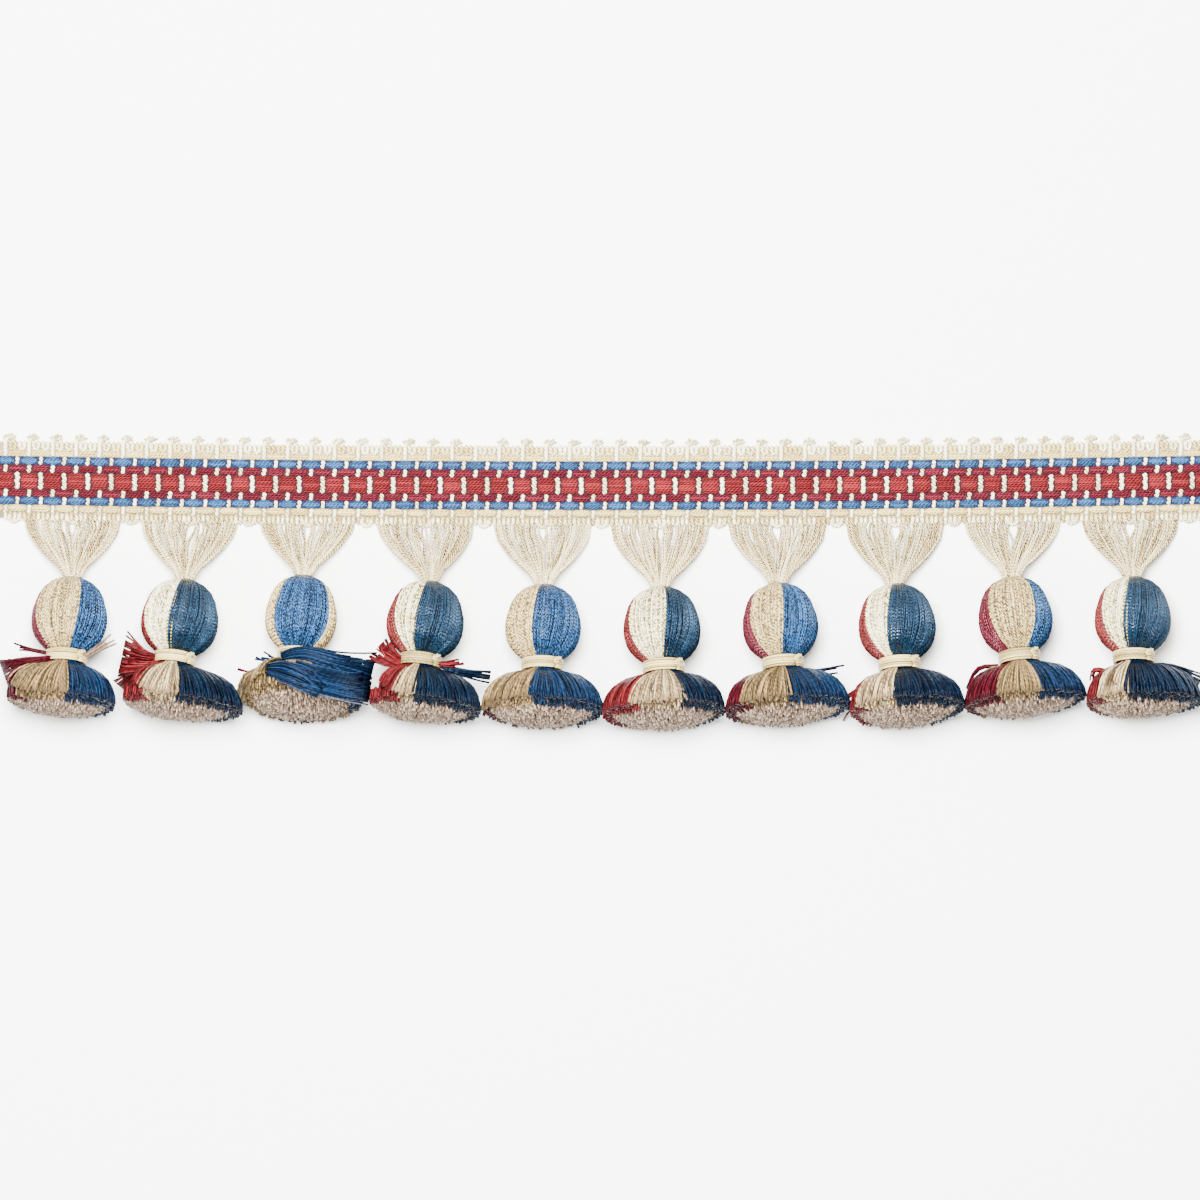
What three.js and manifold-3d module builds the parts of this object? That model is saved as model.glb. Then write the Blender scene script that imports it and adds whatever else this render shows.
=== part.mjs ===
// Tassel trim: a woven heading and ten tassels with wound balls, lying face up on a flat surface.
// Millimetres. +X runs along the trim, +Y points from the tassels to the heading, +Z faces up.
// Z = 0 is the surface that the trim lies on.

import * as THREE from 'three';
import { mergeVertices } from 'three/addons/utils/BufferGeometryUtils.js';
import Module from 'manifold-3d';

const wasm = await Module();
wasm.setup();

// Clearance between one piece and the next, and how close two points of a mesh are one
const GAP = 0.3;
const SAME_POINT = 1e-4;

// Heading: its weave repeats every REPEAT, with columns and the places between them half a repeat apart
const REPEAT = 5.88;
const HALF_REPEATS = 104;
const HEADING_LENGTH = (HALF_REPEATS * REPEAT) / 2;
const HEADING_MIDDLE = 25.3;
const HEADING_BOW = 1.5;

// Rows of the weave from the upper edge to the lower one: distance from the middle of the red stripe,
// and the height of the face on a column and between two columns
const WEAVE_ROWS = [
  { name: 'upper edge', across: 10.2, onColumn: 1.0, offColumn: 1.0 },
  { name: 'beige floats', across: 7.6, onColumn: 1.25, offColumn: 1.5 },
  { name: 'upper blue floats', across: 5.25, onColumn: 1.65, offColumn: 1.2 },
  { name: 'upper dark red floats', across: 3.15, onColumn: 1.2, offColumn: 1.6 },
  { name: 'coral blocks, upper rim', across: 1.5, onColumn: 1.7, offColumn: 1.25 },
  { name: 'coral blocks, lower rim', across: -1.5, onColumn: 1.7, offColumn: 1.25 },
  { name: 'lower dark red floats', across: -3.1, onColumn: 1.2, offColumn: 1.6 },
  { name: 'lower blue floats', across: -5.05, onColumn: 1.65, offColumn: 1.2 },
  { name: 'cream floats', across: -7.0, onColumn: 1.2, offColumn: 1.55 },
  { name: 'lower edge', across: -9.4, onColumn: 1.1, offColumn: 1.1 },
];

// Picots of the upper edge, and turned loops of the lower edge
const PICOT = { count: 52, first: -148.79, root: 9.8, tip: 12.3, rootWidth: 1.4, tipWidth: 3.0, thick: 0.9 };
const MISSING_PICOT = 20;
const SQUASHED_PICOT = 35;
const SQUASHED_SHARE = 0.55;
const TURN = { count: 21, first: -147.9, root: -9.1, tip: -10.3, rootWidth: 2.9, tipWidth: 1.8, thick: 0.9 };
const TURN_SPACING = 2.5 * REPEAT;

// Tassels hang every fifth repeat
const TASSEL_SPACING = 5 * REPEAT;
const FIRST_TASSEL = -133.2;

// Each tassel as it lies: the middle of its ball, the ball's diameter, the lean of its axis to the right
// in degrees, the rise of its skirt, and the skirt's reach to the left and to the right
const TASSELS = [
  { x: -133.6, y: -8.0, ball: 18.8, lean: -4.4, nod: 13, left: 15.6, right: 12.8 },
  { x: -106.0, y: -8.5, ball: 19.2, lean: -7.0, nod: 14, left: 13.1, right: 18.0 },
  { x: -75.8, y: -7.6, ball: 17.8, lean: -3.5, nod: 21, left: 12.7, right: 16.1 },
  { x: -44.7, y: -9.0, ball: 19.2, lean: -6.5, nod: 15, left: 13.0, right: 16.0 },
  { x: -15.4, y: -9.9, ball: 18.8, lean: -1.0, nod: 17, left: 14.8, right: 15.0 },
  { x: 14.2, y: -10.5, ball: 19.2, lean: 2.5, nod: 16, left: 15.4, right: 14.6 },
  { x: 43.7, y: -9.6, ball: 18.8, lean: 3.8, nod: 16, left: 14.8, right: 15.7 },
  { x: 72.9, y: -9.8, ball: 19.2, lean: 3.3, nod: 17, left: 12.7, right: 15.3 },
  { x: 102.4, y: -8.0, ball: 18.4, lean: 5.6, nod: 14, left: 14.5, right: 15.2 },
  { x: 131.8, y: -8.0, ball: 19.0, lean: 0.8, nod: 14, left: 11.7, right: 16.4 },
];

// The rise of a ball's axis towards its skirt, in degrees
const RISE = 15;

// The skirt's reach upwards as a share of its round form, and the share of their length along the axis that
// locks brushed out to the left or flipped back over the tie keep, for the tassels that differ
const USUAL_SKIRT = { up: 0.8, sweptLeft: 1, flippedTop: 1 };
const UNUSUAL_SKIRTS = [
  { tassel: 1, sweptLeft: 0.6 },
  { tassel: 2, sweptLeft: 0.1 },
  { tassel: 3, up: 1, flippedTop: -0.5 },
  { tassel: 4, sweptLeft: 0.2 },
];
const FLIPPED_RADIUS = 10.2;
const FLIP_DELAY = 3;
const SWEEP_FOCUS = 4;

// Ball: distance along the axis from its middle towards the skirt, and its share of the radius
const BALL_PROFILE = [
  { along: -9.3, share: 0 },
  { along: -9.1, share: 0.28 },
  { along: -7.2, share: 0.62 },
  { along: -4.2, share: 0.86 },
  { along: -0.6, share: 0.98 },
  { along: 3.2, share: 1 },
  { along: 6.4, share: 0.93 },
  { along: 8.4, share: 0.79 },
  { along: 9.5, share: 0.5 },
  { along: 9.5, share: 0 },
];
const BALL_SEGMENTS = 12;
const FLAT_SPOT_DEPTH = 0.12;

// Tie: a wound band round the neck below the ball, with the stub of its knot at the upper right
const TIE = { start: 9.8, end: 12.7, inner: 4.5, outer: 5.3, crown: 5.6, segments: 8 };
const KNOT_TURN = 50;
const KNOT_SIDES = 4;
const KNOT_ROUTE = [
  { along: 11.3, radius: 4.9, half: 0.6 },
  { along: 10.9, radius: 6.1, half: 0.65 },
  { along: 10.5, radius: 7.2, half: 0.45 },
];

// Skirt: locks of cut ends round a core, measured along the axis from the end of the tie
const LOCKS = 16;
const LOWEST_LOCK = -90;
const LOCK_ROUTE = [
  { along: 1.0, radius: 3.3 },
  { along: 2.4, radius: 9.8 },
  { along: 5.6, radius: 13.3 },
  { along: 10.6, radius: 14.4 },
];
const NECK_RADIUS = 4.2;
const LOCK_SHARE_OF_PITCH = 0.84;
const LOCK_RISE = { least: 0.5, perRadius: 0.05 };
const LOCK_TIP = LOCK_ROUTE[LOCK_ROUTE.length - 1];
const RIM_RADIUS = LOCK_TIP.radius + lockRise(LOCK_TIP.radius);
const TOP_OVERHANG = 2.0;
const UNEVEN_ENDS = 0.35;
const REST_SHARE = 0.997;
const CORE_PROFILE = [
  { along: -2.9, radius: 0 },
  { along: -2.9, radius: 3.9 },
  { along: 0.9, radius: 3.9 },
  { along: 3.2, radius: 8.6 },
  { along: 9.6, radius: 12.4 },
  { along: 11.0, radius: 11.4 },
  { along: 12.3, radius: 6.5 },
  { along: 12.7, radius: 0 },
];
const CORE_SEGMENTS = 8;

// Hanger: strands in two halves from the heading to the neck, where they are gathered into a collar
const STRANDS_IN_A_HALF = 5;
const INNERMOST_STRAND = 0.17;
const FAN = [
  { down: 0, half: 1.8 },
  { down: 3.0, half: 3.5 },
  { down: 5.0, half: 6.0 },
  { down: 8.0, half: 8.9 },
  { down: 11.5, half: 11.3 },
  { down: 16.5, half: 12.3 },
];
const STRAND = { width: 0.52, height: 0.5, edgeHeight: 0.75, layer: 0.5, rootDistance: 1.2, steps: 3 };
const COLLAR_END = 3.2;
const COLLAR = [
  { down: 0.42, half: 2.5, deep: 1.9 },
  { down: 1.8, half: 2.9, deep: 1.7 },
  { down: COLLAR_END, half: 4.1, deep: 1.25 },
];
const COLLAR_SIDES = 8;
const HANGER_CURVE = 1.25;

// Strands and locks are bars of three sides, which reach this far across for one unit out
const BAR_SIDES = 3;
const WIDEST_OF_THREE = Math.sin((2 * Math.PI) / BAR_SIDES);

function lockRise(radius) {
  return LOCK_RISE.least + LOCK_RISE.perRadius * radius;
}

const radians = THREE.MathUtils.degToRad;
const lerp = THREE.MathUtils.lerp;

// A number from -1 to 1 that looks random and is the same on each run
function uneven(seed) {
  const wave = Math.sin(seed * 12.9898) * 43758.5453;
  return 2 * (wave - Math.floor(wave)) - 1;
}

// The value of a table's column at a place between two rows
function readTable(table, key, place, column) {
  const next = table.findIndex((row) => row[key] >= place);
  if (next === 0) return table[0][column];
  if (next < 0) return table[table.length - 1][column];
  const [before, after] = [table[next - 1], table[next]];
  return lerp(before[column], after[column], (place - before[key]) / (after[key] - before[key]));
}

// How far the heading dips at a place along the trim
function bow(x) {
  return -HEADING_BOW * (1 - (2 * x / HEADING_LENGTH) ** 2);
}

function positionsOnly(geometry) {
  geometry.deleteAttribute('normal');
  geometry.deleteAttribute('uv');
  return mergeVertices(geometry, SAME_POINT);
}

// Moves each point of a geometry to where place(x, y, z) says
function movePoints(geometry, place) {
  const points = geometry.getAttribute('position');
  for (let i = 0; i < points.count; i += 1) {
    const moved = place(points.getX(i), points.getY(i), points.getZ(i));
    points.setXYZ(i, moved.x, moved.y, moved.z);
  }
  points.needsUpdate = true;
  return geometry;
}

function toSolid(geometry) {
  const merged = positionsOnly(geometry);
  return new wasm.Manifold(new wasm.Mesh({
    numProp: 3,
    vertProperties: new Float32Array(merged.getAttribute('position').array),
    triVerts: new Uint32Array(merged.index.array),
  }));
}

function toGeometry(solid) {
  const mesh = solid.getMesh();
  const geometry = new THREE.BufferGeometry();
  geometry.setAttribute('position', new THREE.BufferAttribute(new Float32Array(mesh.vertProperties), 3));
  geometry.setIndex(new THREE.BufferAttribute(new Uint32Array(mesh.triVerts), 1));
  return geometry;
}

function joined(solids) {
  return solids.reduce((whole, solid) => whole.add(solid));
}

// A closed bar of a few sides, bent so that place(share of its length, across, out) gives its points
function bar(sides, steps, place) {
  const outline = new THREE.Shape();
  const corners = [];
  for (let n = 0; n < sides; n += 1) {
    const turn = (2 * Math.PI * n) / sides;
    corners.push(new THREE.Vector2(Math.cos(turn), Math.sin(turn)));
  }
  outline.setFromPoints(corners);
  const straight = new THREE.ExtrudeGeometry(outline, { depth: 1, steps, bevelEnabled: false });
  return movePoints(positionsOnly(straight), (out, across, share) => place(share, across, out));
}

// A flat tooth on an edge of the heading
function tooth(middle, size, reach) {
  const outline = new THREE.Shape();
  const tip = lerp(size.root, size.tip, reach);
  const corners = [
    new THREE.Vector2(middle - size.rootWidth / 2, size.root),
    new THREE.Vector2(middle + size.rootWidth / 2, size.root),
    new THREE.Vector2(middle + size.tipWidth / 2, tip),
    new THREE.Vector2(middle - size.tipWidth / 2, tip),
  ];
  outline.setFromPoints(corners);
  return new THREE.ExtrudeGeometry(outline, { depth: size.thick, bevelEnabled: false });
}

// The woven band: its section, carried along the trim, with the floats raised in the points of its face
function headingBand() {
  const upper = WEAVE_ROWS[0].across;
  const lower = WEAVE_ROWS[WEAVE_ROWS.length - 1].across;
  const section = new THREE.Shape();
  section.moveTo(lower, 0);
  section.lineTo(upper, 0);
  WEAVE_ROWS.forEach((row) => section.lineTo(row.across, 1));
  const band = new THREE.ExtrudeGeometry(section, {
    depth: HEADING_LENGTH,
    steps: HALF_REPEATS,
    bevelEnabled: false,
  });
  return movePoints(positionsOnly(band), (across, height, along) => {
    const column = Math.round((2 * along) / REPEAT);
    const key = column % 2 === 1 ? 'onColumn' : 'offColumn';
    const row = WEAVE_ROWS.find((each) => Math.abs(each.across - across) < SAME_POINT);
    const z = height > 0.5 ? row[key] : 0;
    return new THREE.Vector3(along - HEADING_LENGTH / 2, across, z);
  });
}

function headingGeometry() {
  const solids = [toSolid(headingBand())];
  for (let n = 0; n < PICOT.count; n += 1) {
    if (n === MISSING_PICOT) continue;
    const reach = n === SQUASHED_PICOT ? SQUASHED_SHARE : 1;
    solids.push(toSolid(tooth(PICOT.first + n * REPEAT, PICOT, reach)));
  }
  for (let n = 0; n < TURN.count; n += 1) {
    solids.push(toSolid(tooth(TURN.first + n * TURN_SPACING, TURN, 1)));
  }
  return movePoints(toGeometry(joined(solids)), (x, y, z) => (
    new THREE.Vector3(x, y + HEADING_MIDDLE + bow(x), z)));
}

// The height of the ball's middle above the surface, from the lowest ring of its tilted profile
function ballHeight(tassel) {
  const rise = radians(RISE);
  const depths = BALL_PROFILE.map((row) => (
    row.share * (tassel.ball / 2) * Math.cos(rise) - row.along * Math.sin(rise)));
  return Math.max(...depths) - FLAT_SPOT_DEPTH;
}

// Sets points that stand round an upright axis on a tassel's own axis, which rises towards the skirt
function ontoAxis(geometry, tassel) {
  return geometry.rotateX(-radians(RISE)).translate(0, 0, ballHeight(tassel));
}

function latheAlongAxis(rows, segments) {
  const profile = rows.map((row) => new THREE.Vector2(row.radius, -row.along)).reverse();
  return positionsOnly(new THREE.LatheGeometry(profile, segments));
}

// The wound ball, with a small flat spot where it lies on the surface
function ballGeometry(tassel) {
  const rows = BALL_PROFILE.map((row) => ({ along: row.along, radius: row.share * tassel.ball / 2 }));
  const ball = toSolid(ontoAxis(latheAlongAxis(rows, BALL_SEGMENTS), tassel));
  const below = new THREE.BoxGeometry(2 * tassel.ball, 2 * tassel.ball, tassel.ball);
  below.translate(0, 0, -tassel.ball / 2);
  return toGeometry(ball.subtract(toSolid(below)));
}

function tieGeometry(tassel) {
  const middle = (TIE.start + TIE.end) / 2;
  const ring = latheAlongAxis([
    { along: TIE.start, radius: TIE.inner },
    { along: TIE.start, radius: TIE.outer },
    { along: middle, radius: TIE.crown },
    { along: TIE.end, radius: TIE.outer },
    { along: TIE.end, radius: TIE.inner },
    { along: TIE.start, radius: TIE.inner },
  ], TIE.segments);
  const turn = radians(KNOT_TURN);
  const knot = bar(KNOT_SIDES, KNOT_ROUTE.length - 1, (share, across, out) => {
    const row = KNOT_ROUTE[Math.round(share * (KNOT_ROUTE.length - 1))];
    const radius = row.radius + out * row.half;
    const side = -across * row.half;
    return new THREE.Vector3(
      radius * Math.cos(turn) - side * Math.sin(turn),
      -row.along,
      radius * Math.sin(turn) + side * Math.cos(turn),
    );
  });
  return toGeometry(toSolid(ontoAxis(ring, tassel)).add(toSolid(ontoAxis(knot, tassel))));
}

// How much of the skirt's length the locks at an angle round the axis keep
function keptLength(tassel, angle) {
  const towardsLeft = Math.max(0, -Math.cos(angle)) ** SWEEP_FOCUS;
  const towardsTop = Math.max(0, Math.sin(angle)) ** SWEEP_FOCUS;
  return 1 + (tassel.sweptLeft - 1) * towardsLeft + (tassel.flippedTop - 1) * towardsTop;
}

function skirtRootHeight(tassel) {
  return ballHeight(tassel) + TIE.end * Math.sin(radians(RISE));
}

// The share of its round form that the skirt's lower side keeps, so that it rests on the surface
function downShare(tassel) {
  const nod = radians(tassel.nod);
  const shares = LOCK_ROUTE.map((row, n) => {
    const shortest = row.along - (UNEVEN_ENDS * n) / (LOCK_ROUTE.length - 1);
    const height = skirtRootHeight(tassel) + shortest * Math.sin(nod);
    return height / ((row.radius + lockRise(row.radius)) * Math.cos(nod));
  });
  return REST_SHARE * Math.min(...shares);
}

// A point of the skirt: along its axis from the end of the tie, with a sideways and an upward distance
function skirtPoint(tassel, along, side, height) {
  const flared = Math.hypot(side, height) > NECK_RADIUS;
  const tilt = radians(flared ? tassel.nod : RISE);
  const x = side * (flared ? (side > 0 ? tassel.right : tassel.left) / RIM_RADIUS : 1);
  const z = height * (flared ? (height > 0 ? tassel.up : downShare(tassel)) : 1);
  return new THREE.Vector3(
    x,
    -TIE.end * Math.cos(radians(RISE)) - along * Math.cos(tilt) + z * Math.sin(tilt),
    skirtRootHeight(tassel) + along * Math.sin(tilt) + z * Math.cos(tilt),
  );
}

// One lock of cut ends: a bar of three sides with its ridge outwards and a blunt end
function lock(tassel, number, seed) {
  const angle = radians(LOWEST_LOCK + (360 / LOCKS) * number);
  const steps = LOCK_ROUTE.length - 1;
  const kept = keptLength(tassel, angle);
  const overhang = Math.max(0, Math.sin(angle)) * TOP_OVERHANG * Math.max(0, kept);
  const delay = kept < 0 ? FLIP_DELAY : 1;
  const middle = LOCK_ROUTE.map((row, n) => new THREE.Vector2(
    row.along * lerp(1, kept, (n / steps) ** delay) + (n / steps) * (overhang + UNEVEN_ENDS * uneven(seed)),
    kept < 0 ? Math.min(row.radius, FLIPPED_RADIUS) : row.radius,
  ));
  return bar(BAR_SIDES, steps, (share, across, out) => {
    const station = Math.round(share * steps);
    const before = middle[Math.max(0, station - 1)];
    const after = middle[Math.min(steps, station + 1)];
    const course = after.clone().sub(before).normalize();
    const rise = out * lockRise(middle[station].y);
    const radius = middle[station].y + rise * course.x;
    const pitch = (2 * Math.PI * middle[station].y) / LOCKS;
    const side = (across / WIDEST_OF_THREE) * (pitch / 2) * LOCK_SHARE_OF_PITCH;
    return skirtPoint(
      tassel,
      middle[station].x - rise * course.y,
      radius * Math.cos(angle) - side * Math.sin(angle),
      radius * Math.sin(angle) + side * Math.cos(angle),
    );
  });
}

// The skirt: its core of cut ends, which is the backing, and the locks round it
function skirtGeometry(tassel, seed) {
  const core = movePoints(latheAlongAxis(CORE_PROFILE, CORE_SEGMENTS), (x, y, z) => (
    skirtPoint(tassel, -y, x, z)));
  const solids = [toSolid(core)];
  for (let n = 0; n < LOCKS; n += 1) solids.push(toSolid(lock(tassel, n, seed * LOCKS + n)));
  return toGeometry(joined(solids));
}

// The route of a hanger's middle, from the top of the ball to the edge of the heading
function hangerRoute(tassel, number) {
  const top = BALL_PROFILE[0].along;
  const rise = radians(RISE);
  const lean = radians(tassel.lean);
  const reach = -top * Math.cos(rise);
  const neck = new THREE.Vector3(
    tassel.x - reach * Math.sin(lean),
    tassel.y + reach * Math.cos(lean),
    ballHeight(tassel) + top * Math.sin(rise),
  );
  const hang = FIRST_TASSEL + number * TASSEL_SPACING;
  const lower = WEAVE_ROWS[WEAVE_ROWS.length - 1].across;
  const length = HEADING_MIDDLE + bow(hang) + lower - GAP - neck.y;
  return {
    length,
    rise,
    at(down) {
      const share = down / length;
      return new THREE.Vector3(
        lerp(neck.x, hang, share),
        neck.y + down,
        lerp(STRAND.edgeHeight, neck.z, Math.max(0, 1 - share) ** HANGER_CURVE),
      );
    },
  };
}

// The hanger: a collar on the ball, which is the backing, and strands that spread to the heading
function hangerGeometry(tassel, number) {
  const route = hangerRoute(tassel, number);
  const collar = bar(COLLAR_SIDES, COLLAR.length - 1, (share, across, out) => {
    const row = COLLAR[Math.round(share * (COLLAR.length - 1))];
    const tilt = route.rise * (1 - share);
    const point = route.at(row.down);
    const deep = out * row.deep;
    return point.add(new THREE.Vector3(across * row.half, deep * Math.sin(tilt), deep * Math.cos(tilt)));
  });
  const solids = [toSolid(collar)];
  for (const hand of [-1, 1]) {
    for (let n = 0; n < STRANDS_IN_A_HALF; n += 1) {
      const place = hand * lerp(INNERMOST_STRAND, 1, n / (STRANDS_IN_A_HALF - 1));
      const layer = n % 2 === 0 ? STRAND.layer : -STRAND.layer;
      solids.push(toSolid(bar(BAR_SIDES, STRAND.steps, (share, across, out) => {
        const down = lerp(STRAND.rootDistance, route.length, share);
        const half = readTable(FAN, 'down', down, 'half');
        const point = route.at(down);
        const bent = bow(point.x + place * half) - bow(point.x);
        point.x += place * half + across * STRAND.width;
        point.y += bent * share;
        point.z += layer * (1 - share) + out * STRAND.height;
        return point;
      })));
    }
  }
  return toGeometry(joined(solids));
}

function cloth(color, roughness) {
  return new THREE.MeshStandardMaterial({ color, roughness, metalness: 0 });
}

function piece(name, geometry, material) {
  geometry.computeVertexNormals();
  const mesh = new THREE.Mesh(geometry, material);
  mesh.name = name;
  return mesh;
}

const braid = cloth('#c9806f', 0.9);
const skein = cloth('#e6dcc4', 0.7);
const cord = cloth('#ede0c4', 0.8);
const ballSilks = [cloth('#4273aa', 0.55), cloth('#24507a', 0.55)];
const skirtSilks = [cloth('#c8b48a', 0.8), cloth('#c4bfb4', 0.8)];

const trim = new THREE.Group();
trim.add(piece('heading', headingGeometry(), braid));
TASSELS.forEach((laidTassel, number) => {
  const label = number + 1;
  const unusual = UNUSUAL_SKIRTS.find((row) => row.tassel === label);
  const tassel = { ...USUAL_SKIRT, ...unusual, ...laidTassel };
  const laid = new THREE.Group();
  laid.position.set(tassel.x, tassel.y, 0);
  laid.rotation.z = radians(tassel.lean);
  laid.add(piece(`head_${label}`, ballGeometry(tassel), ballSilks[number % 2]));
  laid.add(piece(`tie_${label}`, tieGeometry(tassel), cord));
  laid.add(piece(`skirt_${label}`, skirtGeometry(tassel, label), skirtSilks[number % 2]));
  trim.add(laid);
  trim.add(piece(`hanger_${label}`, hangerGeometry(tassel, number), skein));
});

export default trim;
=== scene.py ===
import itertools
import math
import random

import bmesh
import bpy
from mathutils import Matrix, Vector


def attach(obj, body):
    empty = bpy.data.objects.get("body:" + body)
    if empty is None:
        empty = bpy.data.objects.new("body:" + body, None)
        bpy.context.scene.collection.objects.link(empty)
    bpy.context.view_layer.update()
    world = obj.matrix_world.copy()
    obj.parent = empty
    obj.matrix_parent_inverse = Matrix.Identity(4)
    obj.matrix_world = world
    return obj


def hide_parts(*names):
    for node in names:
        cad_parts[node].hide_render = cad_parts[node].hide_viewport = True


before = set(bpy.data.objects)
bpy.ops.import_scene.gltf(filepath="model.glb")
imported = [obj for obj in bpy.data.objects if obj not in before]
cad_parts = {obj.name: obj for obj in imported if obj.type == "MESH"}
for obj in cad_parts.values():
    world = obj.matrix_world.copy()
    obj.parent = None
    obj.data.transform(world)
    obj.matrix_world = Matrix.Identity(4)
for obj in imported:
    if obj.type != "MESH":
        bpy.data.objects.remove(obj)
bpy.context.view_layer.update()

# All measures are in millimetres, as in the CAD, and become metres when a mesh is made
MM = 0.001

# Heading: the weave repeats every REPEAT, with its columns in the middle of each repeat
REPEAT = 5.88
REPEATS = 52
HEADING_LENGTH = REPEAT * REPEATS
HEADING_MIDDLE = 25.3
HEADING_BOW = 1.5
HEADING_UPPER_EDGE = 10.2
HEADING_LOWER_EDGE = -9.4
WEB_THICKNESS = 0.9
WEB_INSET = 0.3

# Floats of the face: the middle of the row, its threads and their spacing, the half length of a float,
# whether it lies on a column, the height of its arch, how far its ends draw together, and how much shorter
# its outer threads are
STRIPE_FIELDS = ("yarn", "across", "threads", "spacing", "reach", "on_column", "arch", "pinch", "taper")
STRIPES = [dict(zip(STRIPE_FIELDS, row)) for row in (
    ("beige", 7.25, 3, 0.56, 2.3, False, 0.5, 0.1, 0.0),
    ("blue", 5.25, 4, 0.5, 2.18, True, 0.9, 0.55, 0.5),
    ("dark red", 3.25, 3, 0.6, 2.2, False, 0.75, 0.3, 0.3),
    ("coral", 0.2, 7, 0.59, 2.05, True, 0.8, 0.06, 0.04),
    ("dark red", -2.85, 3, 0.6, 2.2, False, 0.75, 0.3, 0.3),
    ("blue", -4.75, 4, 0.5, 2.18, True, 0.9, 0.55, 0.5),
    ("beige", -6.65, 3, 0.58, 2.4, False, 0.7, 0.5, 0.3),
)]
FLOAT_THREAD_RADIUS = 0.33
FLOAT_STATIONS = (-1.0, -0.86, -0.5, 0.0, 0.5, 0.86, 1.0)

# White cords that show between the floats as stacks of beads: from and to across, how many beads, whether
# they lie on a column, and the radius of a bead
BEAD_FIELDS = ("from", "to", "beads", "on_column", "radius")
BEADS = [dict(zip(BEAD_FIELDS, row)) for row in (
    (4.3, 6.2, 2, False, 0.55),
    (2.35, 4.15, 2, True, 0.58),
    (-1.75, 2.2, 5, False, 0.66),
    (-3.8, -1.95, 2, True, 0.58),
    (-5.75, -3.8, 2, False, 0.55),
)]
BEAD_WAIST_SHARE = 0.66

RIBS_IN_A_REPEAT = 5
RIB_PITCH = REPEAT / RIBS_IN_A_REPEAT

# Picots of the upper edge, and turned loops of the lower edge
PICOT = {"count": 52, "first": -148.79, "missing": 20, "squashed": 35}
TURN = {"count": 21, "first": -147.9, "spacing": 2.5 * REPEAT}

TASSEL_SPACING = 5 * REPEAT
FIRST_TASSEL = -133.2

# Each tassel as it lies, with the same values as in the CAD: the middle and the width of its ball, its lean
# in degrees, how far its skirt nods from level, and the skirt's reach to each side. ball_sectors are the
# angles round the axis, in degrees from the right over the top, where its blue, its cream or gold, and its
# red begin and where the red ends; skirt_sectors are the same for the skirt
TASSEL_FIELDS = ("x", "y", "ball", "lean", "nod", "left", "right",
                 "ball_sectors", "skirt_sectors")
TASSELS = [dict(zip(TASSEL_FIELDS, row)) for row in (
    (-133.6, -8.0, 18.8, -4.4, 13, 15.6, 12.8, (-35, 75, 156, 245), (-60, 86, 150, 215)),
    (-106.0, -8.5, 19.2, -7.0, 14, 13.1, 18.0, (-10, 105, 164, 250), (-60, 83, 128, 225)),
    (-75.8, -7.6, 17.8, -3.5, 21, 12.7, 16.1, (35, 139, 217, 310), (-25, 66, 240, 290)),
    (-44.7, -9.0, 19.2, -6.5, 15, 13.0, 16.0, (-10, 104, 147, 240), (-60, 94, 117, 215)),
    (-15.4, -9.9, 18.8, -1.0, 17, 14.8, 15.0, (-10, 107, 190, 270), (-60, 103, 184, 240)),
    (14.2, -10.5, 19.2, 2.5, 16, 15.4, 14.6, (-25, 82, 151, 240), (-60, 70, 126, 225)),
    (43.7, -9.6, 18.8, 3.8, 16, 14.8, 15.7, (-25, 85, 147, 240), (-60, 86, 142, 215)),
    (72.9, -9.8, 19.2, 3.3, 17, 12.7, 15.3, (-10, 104, 148, 240), (-60, 100, 158, 235)),
    (102.4, -8.0, 18.4, 5.6, 14, 14.5, 15.2, (-50, 56, 136, 240), (-60, 69, 122, 215)),
    (131.8, -8.0, 19.0, 0.8, 14, 11.7, 16.4, (-10, 105, 148, 240), (-60, 103, 147, 235)),
)]
RISE = math.radians(15)
# How round a skirt's upper side stays, and how much of its strands is kept at the left and on top
USUAL_SKIRT = {"up": 0.8, "swept_left": 1.0, "flipped_top": 1.0}
UNUSUAL_SKIRTS = {
    1: {"swept_left": 0.6},
    2: {"swept_left": 0.1},
    3: {"up": 1.0, "flipped_top": -0.5},
    4: {"swept_left": 0.2},
}

# Ball: places along its axis, from the hanger to the tie, with the share of its radius there
BALL_PROFILE = [
    (-9.3, 0.06), (-9.05, 0.3), (-7.8, 0.57), (-6.2, 0.75), (-4.4, 0.86), (-2.4, 0.925), (-0.6, 0.98),
    (1.5, 1.0), (3.2, 0.99), (4.8, 0.95), (6.4, 0.87), (7.8, 0.75), (9.0, 0.6), (9.6, 0.53), (9.7, 0.5),
]
BALL_START = -9.3
BALL_YARNS = 132
BALL_YARN_SUNK = 0.22
BALL_YARN_LOWEST = 0.3
BALL_SKEWS = (6, -10)
MOULD_UNDER_YARN = 0.35
SPUN_SEGMENTS = 36
SPUN_LOWEST = 0.15
BALL_YARN_RADIUS = 0.24
FLAT_SPOT_DEPTH = 0.12

TIE_START = 9.8
TIE_END = 12.7
TIE_TURNS = 5
TIE_STEPS = 26
TIE_RADIUS = 4.9
TIE_PACKING_RADIUS = 4.55
KNOT_TURN = math.radians(50)

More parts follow.
